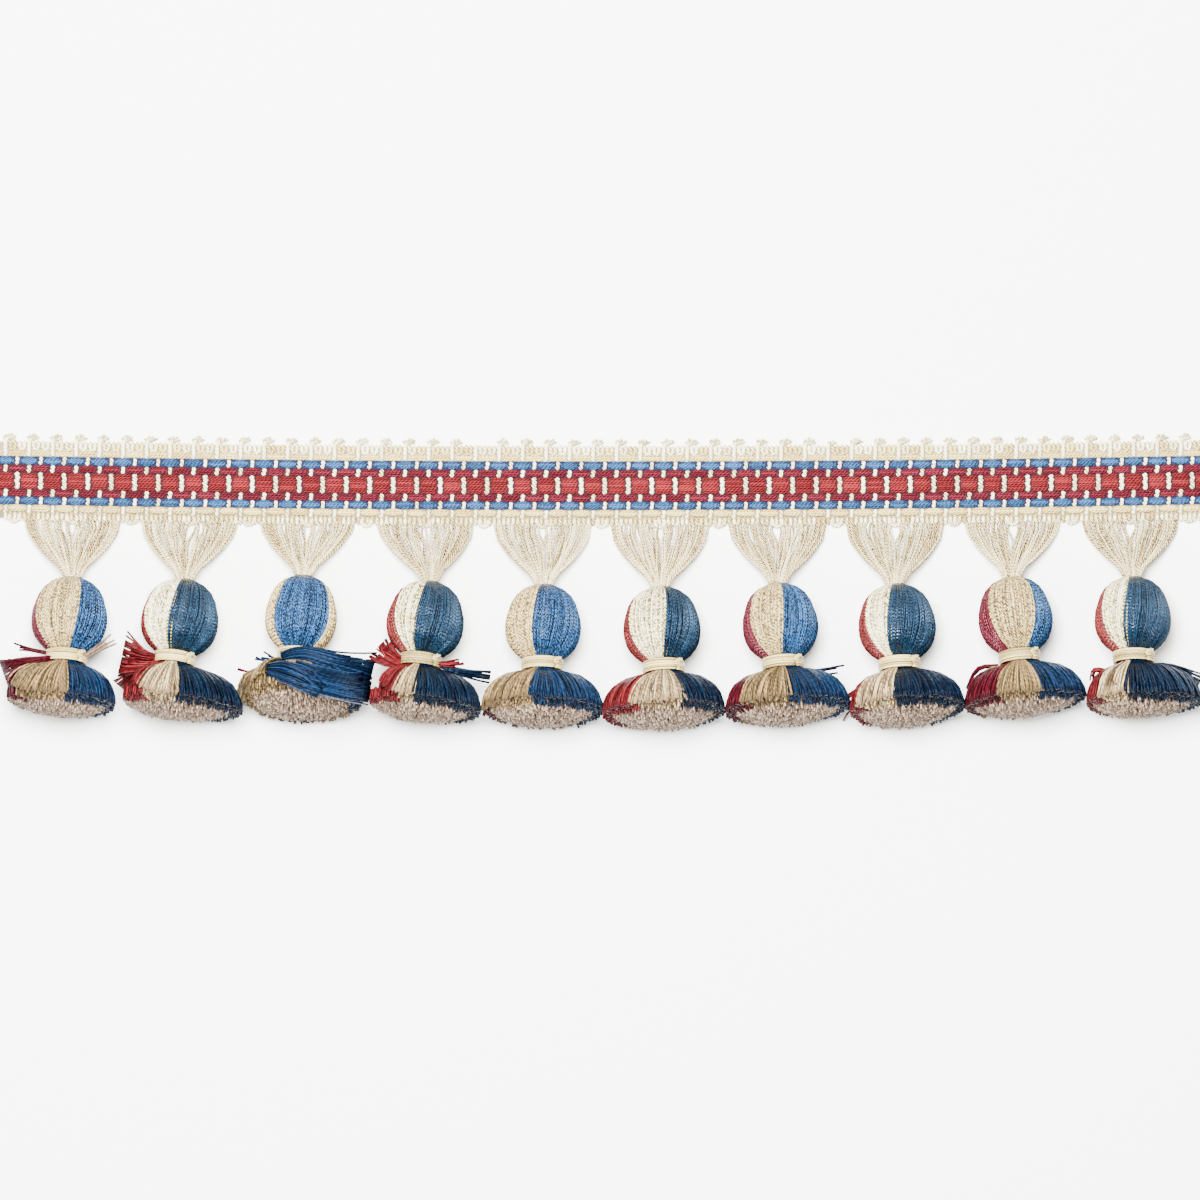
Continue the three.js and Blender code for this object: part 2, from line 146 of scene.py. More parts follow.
# Outer strands of a skirt and the core inside them, along the axis from the end of the tie. The strands at
# the sides spring out at once, and those on top fan out in straight lines
STRAND_ALONG = (-1.2, 0.4, 1.2, 2.5, 4.2, 6.2, 8.4, 10.6)
SIDE_RADII = (3.4, 3.8, 6.6, 10.6, 12.9, 14.2, 15.0, 15.3)
TOP_RADII = (3.6, 3.9, 5.2, 7.4, 9.5, 11.5, 13.1, 14.5)
CORE_PROFILE = [(-1.0, 3.2), (0.6, 3.2), (1.8, 5.6), (3.2, 8.6), (5.6, 11.0), (9.0, 12.3), (10.1, 10.8),
                (10.9, 7.0), (11.3, 3.4), (11.4, 0.0)]
FACE_START = 9.0
FACE_END = 13.0
FACE_RADIUS = 13.9
RIM_RADIUS = 15.62
NECK_RADIUS = 4.2
LOCK_RISE_LEAST = 0.5
LOCK_RISE_PER_RADIUS = 0.05
# The locks of the CAD's skirt, along the axis and out from it. They keep the lower side off the floor
LOCK_STATIONS = [(1.0, 3.3), (2.4, 9.8), (5.6, 13.3), (10.6, 14.4)]
REST_SHARE = 0.997
UNEVEN_ENDS = 0.35
SHORTENED_TOP = 0.7
KEPT_LEAST = 0.7
OUTER_STRANDS = 210
COVERED_STATIONS = 6
COVERED_LIFT = 0.3
COVERED_SHADES = 47
SKIRT_LAYERS = ((0.965, 1.0), (0.88, 0.94))
CUT_STUBS = 1050
GOLDEN_SHARE = 0.381966
STRAND_RADIUS = 0.25
STUB_RADIUS = 0.26

# Hanger: how wide it is on its way up from the neck, and how deep
FAN = [(-0.8, 1.7), (0, 1.9), (3.0, 3.5), (5.0, 6.0), (8.0, 8.9), (11.5, 11.3), (16.5, 12.3)]
HANGER_DEPTH = [(-0.8, 1.5), (1.0, 1.7), (3.2, 1.2), (8.0, 0.6), (14.0, 0.25)]
HANGER_CURVE = 1.25
HANGER_STRANDS_IN_A_HALF = 17
HANGER_STRAND_RADIUS = 0.225
HANGER_SLIT = 0.06
HANGER_SLIT_LENGTH = 4.2
HANGER_STATIONS = 13
# How far a thread stays off the surface that the trim lies on
OFF_FLOOR = 0.02


def mix(a, b, share):
    """A value at a share of the way from one to another."""
    return a + (b - a) * share


def read_table(table, place):
    """The value of a table of (place, value) rows at a place between two of them."""
    if place <= table[0][0]:
        return table[0][1]
    for before, after in zip(table, table[1:]):
        if place <= after[0]:
            return mix(before[1], after[1], (place - before[0]) / (after[0] - before[0]))
    return table[-1][1]


def smooth_route(points, steps):
    """Points on a smooth curve through the given ones, steps of them between one and the next."""
    ends = [points[0] * 2 - points[1], *points, points[-1] * 2 - points[-2]]
    route = []
    for a, b, c, d in zip(ends, ends[1:], ends[2:], ends[3:]):
        for step in range(steps):
            t = step / steps
            route.append(0.5 * (2 * b + (c - a) * t + (2 * a - 5 * b + 4 * c - d) * t * t
                                + (3 * b - a - 3 * c + d) * t * t * t))
    route.append(points[-1].copy())
    return route


def linear(hex_colour):
    """An sRGB hex colour as the linear colour that a shader takes."""
    channels = [int(hex_colour[i:i + 2], 16) / 255 for i in (1, 3, 5)]
    return [c / 12.92 if c <= 0.04045 else ((c + 0.055) / 1.055) ** 2.4 for c in channels] + [1.0]


def node(tree, kind, settings=None, inputs=None):
    """Adds a node, sets its properties, and gives its sockets values or links."""
    made = tree.nodes.new(kind)
    for key, value in (settings or {}).items():
        setattr(made, key, value)
    for key, value in (inputs or {}).items():
        if isinstance(value, bpy.types.NodeSocket):
            tree.links.new(value, made.inputs[key])
        else:
            made.inputs[key].default_value = value
    return made


def gleam(hex_colour):
    """The colour of the gleam on a dyed fibre: the light dye, as bright as can be and half way to white."""
    channels = linear(hex_colour)[:3]
    return [mix(c / max(channels), 1.0, 0.35) for c in channels] + [1.0]


# A thread's shade also sets where its twist begins and which streaks it gets, so that neighbours differ
TWIST_SPREAD = 29.0
STREAK_SPREAD = 97.0


def yarn_material(name, dark, middle, light, cut, twist, finish):
    """Yarn with a thread attribute for its shade, a twist of plies, and another colour at its cut ends. The
    twist is a bump and also painted shade and highlight in the colour: lighter on each ply, darker between.
    """
    material = bpy.data.materials.new(name)
    material.use_nodes = True
    tree = material.node_tree
    tree.nodes.clear()
    shade = node(tree, "ShaderNodeAttribute", {"attribute_name": "shade"}).outputs["Fac"]
    run = node(tree, "ShaderNodeAttribute", {"attribute_name": "run"}).outputs["Fac"]
    tip = node(tree, "ShaderNodeAttribute", {"attribute_name": "tip"}).outputs["Fac"]
    around = node(tree, "ShaderNodeSeparateXYZ", inputs={
        "Vector": node(tree, "ShaderNodeUVMap", {"uv_map": "UVMap"}).outputs["UV"]}).outputs["Y"]
    turns = node(tree, "ShaderNodeMath", {"operation": "MULTIPLY"}, {0: run, 1: 1 / twist["pitch"]})
    plies = node(tree, "ShaderNodeMath", {"operation": "MULTIPLY"}, {0: around, 1: twist["plies"]})
    start = node(tree, "ShaderNodeMath", {"operation": "MULTIPLY_ADD"},
                 {0: shade, 1: TWIST_SPREAD, 2: turns.outputs[0]})
    phase = node(tree, "ShaderNodeMath", {"operation": "ADD"}, {0: start.outputs[0], 1: plies.outputs[0]})
    angle = node(tree, "ShaderNodeMath", {"operation": "MULTIPLY"}, {0: phase.outputs[0], 1: 2 * math.pi})
    ply = node(tree, "ShaderNodeMath", {"operation": "SINE"}, {0: angle.outputs[0]})
    spread = node(tree, "ShaderNodeMath", {"operation": "MULTIPLY"}, {0: shade, 1: STREAK_SPREAD})
    place = node(tree, "ShaderNodeCombineXYZ", inputs={"X": run, "Y": spread.outputs[0]})
    streaks = node(tree, "ShaderNodeTexNoise", inputs={
        "Vector": place.outputs[0], "Scale": 1 / twist["streak"], "Detail": 2.0, "Roughness": 0.6})
    # Painted shade and highlight of the twist: the colour lightens on each ply and darkens between them
    by_ply_painted_shading = node(tree, "ShaderNodeMath", {"operation": "MULTIPLY_ADD"},
                  {0: ply.outputs[0], 1: twist["ply_painted_shading"], 2: 0.5})
    by_streak = node(tree, "ShaderNodeMath", {"operation": "MULTIPLY_ADD"},
                     {0: streaks.outputs["Fac"], 1: twist["streak_contrast"], 2: by_ply_painted_shading.outputs[0]})
    by_shade = node(tree, "ShaderNodeMath", {"operation": "MULTIPLY_ADD"},
                    {0: shade, 1: twist["shade_contrast"], 2: by_streak.outputs[0]})
    middled = node(tree, "ShaderNodeMath", {"operation": "SUBTRACT"},
                   {0: by_shade.outputs[0], 1: (twist["streak_contrast"] + twist["shade_contrast"]) / 2})
    ramp = node(tree, "ShaderNodeValToRGB", inputs={"Fac": middled.outputs[0]})
    stops = ramp.color_ramp.elements
    stops[0].position = 0.15
    stops[0].color = linear(dark)
    stops[1].position = 0.85
    stops[1].color = linear(light)
    stops.new(0.5).color = linear(middle)
    colour = node(tree, "ShaderNodeMix", {"data_type": "RGBA"},
                  {"Factor": tip, 6: ramp.outputs["Color"], 7: linear(cut)})
    bump = node(tree, "ShaderNodeBump", inputs={
        "Height": ply.outputs[0], "Strength": twist["bump"], "Distance": twist["depth"] * MM})
    shader = node(tree, "ShaderNodeBsdfPrincipled", inputs={
        "Base Color": colour.outputs[2], "Roughness": finish["roughness"], "Normal": bump.outputs["Normal"],
        "Specular IOR Level": finish["specular"], "Specular Tint": gleam(light)})
    node(tree, "ShaderNodeOutputMaterial", inputs={"Surface": shader.outputs["BSDF"]})
    return material


# Plied viscose: a soft gleam in the dye's own light colour, and plies as fine slanting lines, in bump and in
# painted shade and highlight
SILK_TWIST = {"pitch": 0.9, "plies": 2, "streak": 0.9, "ply_painted_shading": 0.4, "streak_contrast": 1.5,
              "shade_contrast": 0.8, "bump": 0.9, "depth": 0.16}
SILK_FINISH = {"roughness": 0.27, "specular": 0.42}
TIE_TWIST = {**SILK_TWIST, "streak_contrast": 0.4, "ply_painted_shading": 0.1, "bump": 0.3}
# The same yarn wound tight: short light and dark flecks, painted highlight and painted shade, as each ply
# catches the light for itself
WOUND_TWIST = {"pitch": 0.9, "plies": 2, "streak": 0.62, "ply_painted_shading": 0.25, "streak_contrast": 3.0,
               "shade_contrast": 0.5, "bump": 0.6, "depth": 0.1}
# Combed-out viscose: the plies have opened, so it shows streaks rather than a twist
CUT_TWIST = {"pitch": 1.6, "plies": 1, "streak": 2.5, "ply_painted_shading": 0.12, "streak_contrast": 0.7,
             "shade_contrast": 0.7, "bump": 0.4, "depth": 0.08}
CUT_FINISH = {"roughness": 0.38, "specular": 0.11}
# Woven-in spun yarn: duller, with a coarser twist
FLOAT_TWIST = {"pitch": 0.95, "plies": 2, "streak": 1.0, "ply_painted_shading": 0.24, "streak_contrast": 0.5,
               "shade_contrast": 0.55, "bump": 0.8, "depth": 0.14}
FLOAT_FINISH = {"roughness": 0.55, "specular": 0.07}

# White cotton is the brightest yarn of the heading and beige viscose a little warmer, so that the ribs part
# from each other; the blue, dark red and coral floats are dull, deep colours beside them
HEADING_DYES = {
    "white": ("white_cotton_cord", "#9F8C69", "#EFE4AE", "#EFEBD2", "#EFEDD3"),
    "beige": ("beige_viscose_float", "#8C7543", "#D2BC7B", "#D6CC89", "#D6BE72"),
    "blue": ("blue_viscose_float", "#16293E", "#294567", "#3D6291", "#2C4A6E"),
    "dark red": ("dark_red_viscose_float", "#2F0B10", "#4E1720", "#6F2431", "#541A22"),
    "coral": ("coral_viscose_float", "#3A0D10", "#601D1F", "#872B30", "#661F22"),
}
heading_yarns = {
    dye: yarn_material(name, *colours, FLOAT_TWIST, FLOAT_FINISH)
    for dye, (name, *colours) in HEADING_DYES.items()}
# Cream viscose: pale and warm, with its brown as painted shade in the hollows of its twist; the tie's cord
# is smoother
skein_silk = yarn_material("cream_plied_viscose", "#4A3419", "#EACA7E", "#EFE4BE", "#EFD092",
                           SILK_TWIST, SILK_FINISH)
tie_cord = yarn_material("cream_viscose_tie_cord", "#615431", "#A3915D", "#D3BD7C", "#AB9A66",
                         TIE_TWIST, SILK_FINISH)

# Dark, middle, light and cut-end colours of the viscose. Wound round the balls it is bright and lively;
# cut open in the skirts it is darker, and the cream core's colours are dulled with painted shadow, the
# shadow between its ends
WOUND_DYES = {
    "gold": ("#382D1C", "#8D744B", "#CFB980", "#9C8157"),
    "cream": ("#433B22", "#D6C77D", "#EDE5D3", "#EDE594"),
    "mid blue": ("#030813", "#0E243A", "#28507C", "#183453"),
    "navy": ("#030407", "#040D17", "#102A3E", "#091D2C"),
    "crimson": ("#20070A", "#3C1018", "#5F1F2B", "#4E1921"),
    "coral": ("#2A090A", "#461313", "#6A2725", "#642C22"),
}
# The dyed yarns' cut-end colours are partly the dull look of cut fibre ends and partly painted shade on the
# ends that curl down at the rim
CUT_DYES = {
    "gold": ("#2C2314", "#52432C", "#967A50", "#4F3F28"),
    "cream": ("#3E3121", "#715A41", "#BCAE81", "#725D43"),
    "mid blue": ("#030715", "#061320", "#102642", "#030A1A"),
    "navy": ("#030309", "#030A16", "#041526", "#03050D"),
    "crimson": ("#170304", "#2B050B", "#430917", "#210306"),
    "coral": ("#290506", "#410F11", "#671C1F", "#39080C"),
    "core": ("#4F3D31", "#705F50", "#B29B84", "#8C786A"),
}
wound_yarns = {
    dye: yarn_material(f"{dye.replace(' ', '_')}_wound_viscose", *colours, WOUND_TWIST, SILK_FINISH)
    for dye, colours in WOUND_DYES.items()}
cut_yarns = {
    dye: yarn_material(f"{dye.replace(' ', '_')}_cut_viscose", *colours, CUT_TWIST, CUT_FINISH)
    for dye, colours in CUT_DYES.items()}


def thread(route, radii, yarn, shade, tip=0.0):
    """One thread: its points, its radius at each, its yarn, its shade and how long its coloured tip is."""
    return {"route": route, "radii": radii, "yarn": yarn, "shade": shade, "tip": tip}


def lay_threads(name, threads, yarns, sides):
    """Sweeps round tubes along threads and joins them into one mesh that rides on the trim."""
    names = list(yarns)
    curve = bpy.data.curves.new(name, "CURVE")
    curve.dimensions = "3D"
    curve.bevel_depth = MM
    curve.bevel_resolution = (sides - 4) // 2
    curve.use_fill_caps = True
    for yarn in names:
        curve.materials.append(yarns[yarn])
    for laid in threads:
        spline = curve.splines.new("POLY")
        spline.points.add(len(laid["route"]) - 1)
        spline.points.foreach_set(
            "co", [c for p in laid["route"] for c in (p[0] * MM, p[1] * MM, p[2] * MM, 1)])
        spline.points.foreach_set("radius", laid["radii"])
        spline.material_index = names.index(laid["yarn"])
        spline.use_smooth = True
    swept = bpy.data.objects.new(name, curve)
    mesh = bpy.data.meshes.new_from_object(swept)
    bpy.data.objects.remove(swept)
    bpy.data.curves.remove(curve)
    write_thread_attributes(mesh, threads, sides)
    bm = bmesh.new()
    bm.from_mesh(mesh)
    bmesh.ops.remove_doubles(bm, verts=bm.verts, dist=1e-8)
    bm.to_mesh(mesh)
    bm.free()
    mesh.polygons.foreach_set("use_smooth", [True] * len(mesh.polygons))
    piece = bpy.data.objects.new(name, mesh)
    bpy.context.scene.collection.objects.link(piece)
    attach(piece, "root")
    return piece


def write_thread_attributes(mesh, threads, sides):
    """Gives each point its distance along its thread, its thread's shade, and how near a cut end it is.
    A swept mesh has the caps first, from the last thread to the first and its far end first, and then
    the rings of each thread in turn."""
    caps = {"run": [], "shade": [], "tip": []}
    rings = {"run": [], "shade": [], "tip": []}
    for laid in threads:
        runs = [0.0]
        for before, after in zip(laid["route"], laid["route"][1:]):
            runs.append(runs[-1] + math.dist(before, after))
        tips = [0.0 if laid["tip"] <= 0 else max(0.0, 1 - (runs[-1] - run) / laid["tip"]) for run in runs]
        for run, tip in zip(runs, tips):
            rings["run"] += [run] * sides
            rings["tip"] += [tip] * sides
        rings["shade"] += [laid["shade"]] * (sides * len(runs))
    for laid in reversed(threads):
        length = sum(math.dist(a, b) for a, b in zip(laid["route"], laid["route"][1:]))
        caps["run"] += [length] * sides + [0.0] * sides
        caps["tip"] += [1.0 if laid["tip"] > 0 else 0.0] * sides + [0.0] * sides
        caps["shade"] += [laid["shade"]] * (2 * sides)
    for key in ("run", "shade", "tip"):
        layer = mesh.attributes.new(key, "FLOAT", "POINT")
        layer.data.foreach_set("value", caps[key] + rings[key])


def on_heading(x, across, z):
    """A point of the heading, which bows towards the tassels in the middle of the run."""
    bow = HEADING_BOW * (1 - (2 * x / HEADING_LENGTH) ** 2)
    return Vector((x, HEADING_MIDDLE - bow + across, z))


def column(number):
    """Where along the run a column of the weave is."""
    return (number + 0.5) * REPEAT - HEADING_LENGTH / 2


def between_columns(number):
    """Where along the run the middle between two columns is."""
    return number * REPEAT - HEADING_LENGTH / 2


def heading_floats():
    """The coloured floats: bundles of threads that come up, run along the face and dive down again."""
    chance = random.Random(11)
    threads = []
    for row in STRIPES:
        places = REPEATS if row["on_column"] else REPEATS + 1
        for number in range(places):
            middle = column(number) if row["on_column"] else between_columns(number)
            cut = 0
            if not row["on_column"]:
                cut = 1 if number == 0 else -1 if number == REPEATS else 0
            tone = chance.random()
            reach = row["reach"] * chance.uniform(0.97, 1.02)
            lift = chance.uniform(-0.06, 0.06)
            for n in range(row["threads"]):
                place = n - (row["threads"] - 1) / 2
                crown = 1 - (2 * place / row["threads"]) ** 2
                half = reach * (1 - row["taper"] * (1 - crown))
                wander = chance.uniform(-0.05, 0.05)
                route = []
                for s in FLOAT_STATIONS:
                    if s * cut < 0:
                        continue
                    drawn = place * row["spacing"] * (1 - row["pinch"] * s * s)
                    across = row["across"] + lift + drawn + wander
                    z = 0.42 + row["arch"] * (1 - s ** 4) + 0.16 * crown * (1 - s * s)
                    route.append(on_heading(middle + half * s, across, z))
                radii = [FLOAT_THREAD_RADIUS * chance.uniform(0.94, 1.06) for _ in route]
                # The outer threads of each float get darker shades: painted shade that outlines the float
                # against the rows beside it
                shade = mix(tone, chance.random(), 0.6) * mix(0.1, 1.0, crown)
                threads.append(thread(route, radii, row["yarn"], shade))
    return threads


def bead_cord(x, start, end, beads, z, radius, chance):
    """A cord that crosses the face and shows as a stack of beads."""
    stations = 2 * beads + 1
    route = []
    radii = []
    for n in range(stations):
        share = n / (stations - 1)
        dive = 0.45 if n in (0, stations - 1) else 0.0
        sway = 0.09 * (1 if (n // 2) % 2 else -1)
        route.append(on_heading(x + sway + chance.uniform(-0.04, 0.04), mix(start, end, share), z - dive))
        radii.append(radius * (1.0 if n % 2 else BEAD_WAIST_SHARE) * chance.uniform(0.95, 1.05))
    return thread(route, radii, "white", chance.random())


def heading_cords():
    """The white cords between the floats, the ribs of both edges and the turned loops."""
    chance = random.Random(12)
    threads = []
    for row in BEADS:
        for number in range(REPEATS if row["on_column"] else REPEATS - 1):
            x = column(number) if row["on_column"] else between_columns(number + 1)
            threads.append(bead_cord(x, row["from"], row["to"], row["beads"], 1.0, row["radius"], chance))
    for number in range(REPEATS):
        x = column(number)
        threads.append(bead_cord(x, -8.0, -5.7, 2, 0.95, 0.55, chance))
        threads.append(picot_rib(number, chance))
        for side in (-1, 1):
            threads.append(upper_rib(x + REPEAT / 2 + side * RIB_PITCH, chance))
        for n in range(RIBS_IN_A_REPEAT):
            threads.append(lower_rib(x + n * RIB_PITCH, chance))
    for number in range(TURN["count"]):
        threads.append(turned_loop(TURN["first"] + number * TURN["spacing"], chance))
    threads.append(edge_line(-8.0))
    return [t for t in threads if t]


def inside_heading(x):
    """Whether a rib at this place is clear of the cut ends."""
    return abs(x) < HEADING_LENGTH / 2 - 0.5


def picot_rib(number, chance):
    """The rib that runs up a column and leans to the right into its picot."""
    x = column(number)
    top = 10.9
    if number == PICOT["missing"]:
        top = 10.2
    elif number == PICOT["squashed"]:
        top = 10.5
    route = [on_heading(x + chance.uniform(-0.05, 0.05) + lean, across, z) for lean, across, z in (
        (0.0, 6.3, 0.5), (-0.06, 6.9, 1.1), (0.06, 7.6, 1.3), (-0.04, 8.3, 1.25), (0.03, 9.0, 1.2),
        (0.0, 9.8, 1.05), (0.2, mix(9.8, top, 0.6), 0.9), (0.55, top, 0.75))]
    radii = [0.42, 0.56, 0.46, 0.56, 0.5, 0.52, 0.48, 0.36]
    return thread(route, radii, "white", 0.5 + 0.5 * chance.random())


def upper_rib(x, chance):
    """Two ribs of the upper edge, joined in a U where they go round the beige floats."""
    if not inside_heading(x - 0.6) or not inside_heading(x + 0.6):
        return None
    high = 10.15 + chance.uniform(-0.25, 0.1)
    half = RIB_PITCH / 2
    route = [on_heading(x + side * half, across, z) for side, across, z in (
        (-1.0, high, 0.45), (-1.02, 9.75, 0.95), (-1.0, 9.1, 1.05), (-0.9, 8.5, 1.15), (-0.45, 8.1, 1.2),
        (0.45, 8.1, 1.2), (0.9, 8.5, 1.15), (1.0, 9.1, 1.05), (1.02, 9.75, 0.95), (1.0, high, 0.45))]
    radii = [0.36, 0.52, 0.5, 0.48, 0.4, 0.4, 0.48, 0.5, 0.52, 0.36]
    return thread(route, radii, "white" if chance.random() < 0.6 else "beige", 0.2 + 0.7 * chance.random())


def lower_rib(x, chance):
    """A rib of the lower edge, which goes on as a strand of a hanger."""
    if not inside_heading(x):
        return None
    low = -9.7 + chance.uniform(-0.2, 0.2)
    sway = chance.uniform(-0.08, 0.08)
    route = [on_heading(x + sway * n, across, z) for n, across, z in (
        (0, -7.75, 0.7), (0.5, -8.2, 1.05), (1, -8.9, 1.05), (1.5, mix(-8.9, low, 0.6), 0.95),
        (2, low, 0.7))]
    radii = [0.36, 0.46, 0.44, 0.42, 0.3]
    return thread(route, radii, "white" if chance.random() < 0.65 else "beige", chance.random())


def turned_loop(x, chance):
    """A small loop of the lower edge, where a cord turns back."""
    route = [on_heading(x + side, across, z) for side, across, z in (
        (-1.15, -8.3, 1.3), (-1.18, -9.2, 1.25), (-0.8, -9.85, 1.05), (0.0, -10.1, 0.95), (0.8, -9.85, 1.05),
        (1.18, -9.2, 1.25), (1.15, -8.3, 1.3))]
    return thread(route, [0.36, 0.4, 0.38, 0.36, 0.38, 0.4, 0.36], "white", chance.random())


def edge_line(across):
    """The fine thread that locks the lower floats."""
    route = [on_heading(between_columns(n / 2), across, 1.32 + (0.12 if n % 2 else -0.1))
             for n in range(1, 2 * REPEATS)]
    return thread(route, [0.15] * len(route), "beige", 0.05)


def picot_tufts():
    """The brushed tips of the picots: fine fibres that fan out of each rib."""
    chance = random.Random(13)
    threads = []
    for number in range(PICOT["count"]):
        if number == PICOT["missing"]:
            continue
        squashed = 0.55 if number == PICOT["squashed"] else 1.0
        x = PICOT["first"] + number * REPEAT
        fibres = chance.randint(13, 18)
        for n in range(fibres):
            turn = math.radians(mix(-62, 62, n / (fibres - 1)) + chance.uniform(-9, 9))
            length = chance.uniform(1.15, 1.75) * squashed * (1 - 0.18 * abs(math.sin(turn)))
            root = (x - 0.45 + 0.35 * math.sin(turn), 10.55)
            height = chance.uniform(0.45, 1.15)
            route = []
            for s in (0.0, 0.5, 1.0):
                bend = 0.25 * s * s * math.sin(turn)
                route.append(on_heading(root[0] + 0.4 * s + (s * length * math.sin(turn)) + bend,
                                        root[1] + s * length * math.cos(turn), mix(0.8, height, s)))
            threads.append(thread(route, [0.2, 0.19, 0.12], "beige" if chance.random() < 0.45 else "white",
                                  chance.uniform(0.0, 0.9)))
    return threads


def woven_web():
    """The ground of the heading: one thin closed sheet that carries the floats."""
    bm = bmesh.new()
    uv = bm.loops.layers.uv.new("UVMap")
    bmesh.ops.create_grid(bm, x_segments=2 * REPEATS, y_segments=8, size=0.5, calc_uvs=False)
    for face in bm.faces:
        for loop in face.loops:
            loop[uv].uv = (loop.vert.co.x + 0.5, loop.vert.co.y + 0.5)
    for vert in bm.verts:
        across = mix(HEADING_LOWER_EDGE + WEB_INSET, HEADING_UPPER_EDGE - WEB_INSET, vert.co.y + 0.5)
        vert.co = on_heading(vert.co.x * HEADING_LENGTH, across, WEB_THICKNESS) * MM
    mesh = bpy.data.meshes.new("heading_web")
    bm.to_mesh(mesh)
    bm.free()
    web = bpy.data.objects.new("heading_web", mesh)
    bpy.context.scene.collection.objects.link(web)
    thick = web.modifiers.new("thickness", "SOLIDIFY")
    thick.thickness = WEB_THICKNESS * MM
    thick.offset = -1
    mesh.materials.append(web_material())
    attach(web, "root")
    return web


def web_material():
    """Woven cotton ground: dull and ribbed across, with painted shade between the coloured floats:
    near-black bands in the hues of the rows.
    """
    material = bpy.data.materials.new("woven_ground_painted_shade")
    material.use_nodes = True
    tree = material.node_tree
    tree.nodes.clear()
    place = node(tree, "ShaderNodeSeparateXYZ", inputs={
        "Vector": node(tree, "ShaderNodeUVMap", {"uv_map": "UVMap"}).outputs["UV"]})
    ramp = node(tree, "ShaderNodeValToRGB", inputs={"Fac": place.outputs["Y"]})
    ramp.color_ramp.interpolation = "CONSTANT"
    low = HEADING_LOWER_EDGE + WEB_INSET
    span = HEADING_UPPER_EDGE - WEB_INSET - low
    stops = ramp.color_ramp.elements
    stops[0].color = linear("#6F6046")
    # Under the blue and the red rows the ground takes their hue, darkened almost to black as painted shade
    # in the gaps between the floats; the beige at both edges is the ground's own colour
    stops[1].position = (-5.8 - low) / span
    stops[1].color = linear("#0E1730")
    for across, colour in ((-3.8, "#250610"), (4.25, "#0E1730"), (6.3, "#8A7A5C")):
        stops.new((across - low) / span).color = linear(colour)
    ribs = node(tree, "ShaderNodeMath", {"operation": "MULTIPLY"},
                {0: place.outputs["X"], 1: 2 * math.pi * REPEATS * RIBS_IN_A_REPEAT})
    rib = node(tree, "ShaderNodeMath", {"operation": "SINE"}, {0: ribs.outputs[0]})
    bump = node(tree, "ShaderNodeBump", inputs={
        "Height": rib.outputs[0], "Strength": 0.6, "Distance": 0.2 * MM})
    shader = node(tree, "ShaderNodeBsdfPrincipled", inputs={
        "Base Color": ramp.outputs["Color"], "Roughness": 0.85, "Specular IOR Level": 0.2,
        "Normal": bump.outputs["Normal"]})
    node(tree, "ShaderNodeOutputMaterial", inputs={"Surface": shader.outputs["BSDF"]})
    return material


def ball_height(tassel):
    """The height of the ball's middle when the ball lies on its flat spot."""
    depths = [share * tassel["ball"] / 2 * math.cos(RISE) - along * math.sin(RISE)
              for along, share in BALL_PROFILE]
    return max(depths) - FLAT_SPOT_DEPTH


def laid_down(tassel, x, y, z):
    """A point of the tassel turned by its lean and set where the tassel lies."""
    turn = Matrix.Rotation(math.radians(tassel["lean"]), 3, "Z")
    return turn @ Vector((x, y, z)) + Vector((tassel["x"], tassel["y"], 0))


def axis_point(tassel, along, radius, angle):
    """A point round the tassel's axis, which rises towards the skirt."""
    side = radius * math.cos(angle)
    height = radius * math.sin(angle)
    return laid_down(tassel, side, height * math.sin(RISE) - along * math.cos(RISE),
                     ball_height(tassel) + along * math.sin(RISE) + height * math.cos(RISE))


def skirt_root_height(tassel):
    """The height of the end of the tie, where the skirt begins."""
    return ball_height(tassel) + TIE_END * math.sin(RISE)


def down_share(tassel):
    """The share of its round form that the skirt's lower side keeps, so that it rests on the floor."""
    nod = math.radians(tassel["nod"])
    shares = []
    for n, (along, radius) in enumerate(LOCK_STATIONS):
        shortest = along - UNEVEN_ENDS * n / (len(LOCK_STATIONS) - 1)
        height = skirt_root_height(tassel) + shortest * math.sin(nod)
        shares.append(height / ((radius + LOCK_RISE_LEAST + LOCK_RISE_PER_RADIUS * radius) * math.cos(nod)))
    return REST_SHARE * min(shares)


def skirt_point(tassel, along, radius, angle):
    """A point of the skirt: along its axis from the end of the tie, and round it."""
    side = radius * math.cos(angle)
    height = radius * math.sin(angle)
    flare = min(1.0, max(0.0, (radius - NECK_RADIUS + 1.2) / 2.4))
    tilt = mix(RISE, math.radians(tassel["nod"]), flare)
    reach = tassel["right"] if side > 0 else tassel["left"]
    x = side * mix(1.0, reach / RIM_RADIUS, flare)
    z = height * mix(1.0, tassel["up"] if height > 0 else down_share(tassel), flare)
    return laid_down(tassel, x,
                     -TIE_END * math.cos(RISE) - along * math.cos(tilt) + z * math.sin(tilt),
                     skirt_root_height(tassel) + along * math.sin(tilt) + z * math.cos(tilt))


def kept_length(tassel, angle):
    """The share of its length that a strand keeps: less where the skirt is swept aside or flipped over."""
    towards_left = max(0.0, -math.cos(angle)) ** 4
    towards_top = max(0.0, math.sin(angle)) ** 4
    return 1 + (tassel["swept_left"] - 1) * towards_left + (tassel["flipped_top"] - 1) * towards_top


def dye_at(tassel, sectors, angle):
    """Which of a tassel's yarns lies at an angle round its axis."""
    degrees = (math.degrees(angle) - sectors[0]) % 360
    bounds = [(bound - sectors[0]) % 360 for bound in sectors[1:]]
    blue, cream, red = tassel["dyes"]
    if degrees < bounds[0]:
        return blue
    if degrees < bounds[1]:
        return cream
    if degrees < bounds[2]:
        return red
    return cream


def ball_skew(tassel, angle):
    """How far a wound yarn slants round the ball: more one way at the blue edge than at the red one."""
    _, cream, red, _ = tassel["ball_sectors"]
    share = (math.degrees(angle) - cream) / (red - cream)
    return math.radians(mix(*BALL_SKEWS, min(1.0, max(0.0, share))))


